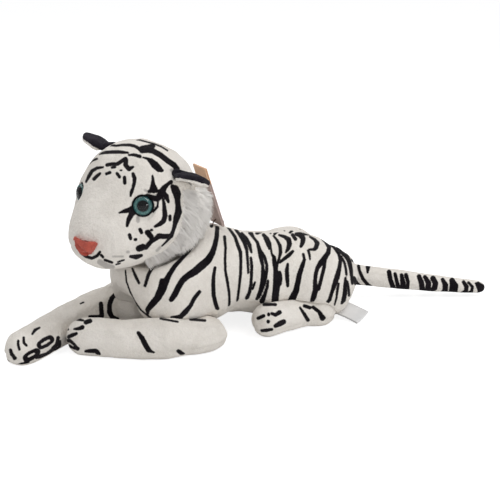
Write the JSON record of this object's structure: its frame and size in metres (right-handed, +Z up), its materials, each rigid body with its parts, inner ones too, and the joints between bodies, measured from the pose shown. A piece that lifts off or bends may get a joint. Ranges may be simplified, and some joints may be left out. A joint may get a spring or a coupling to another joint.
{
  "type": "plush toy tiger",
  "caption": "Stuffed plush white tiger lying down with its head up, with a head that turns and nods, floppy ears, legs and tail that swing, and plastic eyes.",
  "frame": {"origin": "centre of the footprint, on the floor", "axes": "+X from the tiger's head towards its tail, +Y to the tiger's right side, +Z up"},
  "size_m": [0.531, 0.182, 0.2036],
  "materials": {
    "tiger_plush": "short-pile plush, white with printed black stripes",
    "stuffing": "polyester fibre filling",
    "ear_white_plush": "short-pile plush",
    "ear_black_plush": "short-pile plush",
    "long_pile": "long-pile fur fabric",
    "nose_plush": "brushed velour",
    "eye_lens": "clear polished",
    "eye_back": "teal iris with a black pupil",
    "eye_washer": "moulded",
    "satin_ribbon": "satin weave",
    "printed_card": "coated card",
    "nylon_thread": "twisted"
  },
  "bodies": {
    "torso": {"torso_panel_left": "tiger_plush", "torso_panel_right": "tiger_plush", "belly_panel": "tiger_plush", "torso_stuffing": "stuffing", "tag_loop": "nylon_thread"},
    "neck": {"neck_stuffing": "stuffing"},
    "head": {"crown_panel": "tiger_plush", "jaw_panel": "tiger_plush", "cheek_panel_left": "tiger_plush", "cheek_panel_right": "tiger_plush", "head_stuffing": "stuffing", "nose": "nose_plush", "ruff_left": "long_pile", "ruff_right": "long_pile", "eye_lens_left": "eye_lens", "eye_lens_right": "eye_lens", "eye_back_left": "eye_back", "eye_back_right": "eye_back", "eye_washer_left": "eye_washer", "eye_washer_right": "eye_washer"},
    "ear_left": {"ear_front_left": "ear_white_plush", "ear_back_left": "ear_black_plush"},
    "ear_right": {"ear_front_right": "ear_white_plush", "ear_back_right": "ear_black_plush"},
    "foreleg_left": {"foreleg_upper_left": "tiger_plush", "foreleg_sole_left": "tiger_plush", "foreleg_stuffing_left": "stuffing"},
    "foreleg_right": {"foreleg_upper_right": "tiger_plush", "foreleg_sole_right": "tiger_plush", "foreleg_stuffing_right": "stuffing"},
    "hind_foot_left": {"hind_foot_upper_left": "tiger_plush", "hind_foot_sole_left": "tiger_plush", "hind_foot_stuffing_left": "stuffing"},
    "hind_foot_right": {"hind_foot_upper_right": "tiger_plush", "hind_foot_sole_right": "tiger_plush", "hind_foot_stuffing_right": "stuffing"},
    "tail": {"tail_skin": "tiger_plush", "tail_stuffing": "stuffing"},
    "care_label": {"care_label": "satin_ribbon"},
    "hang_tag": {"hang_tag": "printed_card"}
  },
  "joints": [
    {"name": "head_turn", "type": "hinge", "parent": "torso", "child": "neck", "pos_m": [-0.1203, -0.00654, 0.141], "axis": [0, 0, 1], "range_deg": [-20, 20], "stiffness_Nm_per_rad": 0.9},
    {"name": "head_nod", "type": "hinge", "parent": "neck", "child": "head", "pos_m": [-0.1203, -0.00654, 0.141], "axis": [-0.4304, 0.9024, 0.0175], "range_deg": [-8, 10], "stiffness_Nm_per_rad": 1.4},
    {"name": "ear_left_flex", "type": "hinge", "parent": "head", "child": "ear_left", "pos_m": [-0.09283, -0.05206, 0.17445], "axis": [-0.9061, -0.1895, 0.3782], "range_deg": [-20, 20], "stiffness_Nm_per_rad": 0.02},
    {"name": "ear_right_flex", "type": "hinge", "parent": "head", "child": "ear_right", "pos_m": [-0.13374, 0.0271, 0.19247], "axis": [-0.6985, -0.6927, 0.1797], "range_deg": [-20, 20], "stiffness_Nm_per_rad": 0.02},
    {"name": "foreleg_left_swing", "type": "hinge", "parent": "torso", "child": "foreleg_left", "pos_m": [-0.0873, -0.05254, 0], "axis": [0, 0, 1], "range_deg": [0, 12], "stiffness_Nm_per_rad": 0.4},
    {"name": "foreleg_right_swing", "type": "hinge", "parent": "torso", "child": "foreleg_right", "pos_m": [-0.1033, 0.05746, 0], "axis": [0, 0, -1], "range_deg": [0, 12], "stiffness_Nm_per_rad": 0.4},
    {"name": "hind_foot_left_swing", "type": "hinge", "parent": "torso", "child": "hind_foot_left", "pos_m": [0.0567, -0.05854, 0], "axis": [0, 0, 1], "range_deg": [0, 12], "stiffness_Nm_per_rad": 0.3},
    {"name": "hind_foot_right_swing", "type": "hinge", "parent": "torso", "child": "hind_foot_right", "pos_m": [0.0567, 0.06546, 0], "axis": [0, 0, -1], "range_deg": [0, 12], "stiffness_Nm_per_rad": 0.3},
    {"name": "tail_swing", "type": "hinge", "parent": "torso", "child": "tail", "pos_m": [0.1309, -0.01054, 0.027], "axis": [0, 0, 1], "range_deg": [-25, 60], "stiffness_Nm_per_rad": 0.12},
    {"name": "care_label_lift", "type": "hinge", "parent": "torso", "child": "care_label", "pos_m": [0.08719, -0.05354, 0.0125], "axis": [-0.8782, -0.3229, -0.3529], "range_deg": [0, 24], "stiffness_Nm_per_rad": 0.003},
    {"name": "hang_tag_swing", "type": "hinge", "parent": "torso", "child": "hang_tag", "pos_m": [-0.02905, -0.00195, 0.10442], "axis": [0, 1, 0], "range_deg": [0, 35]}
  ]
}
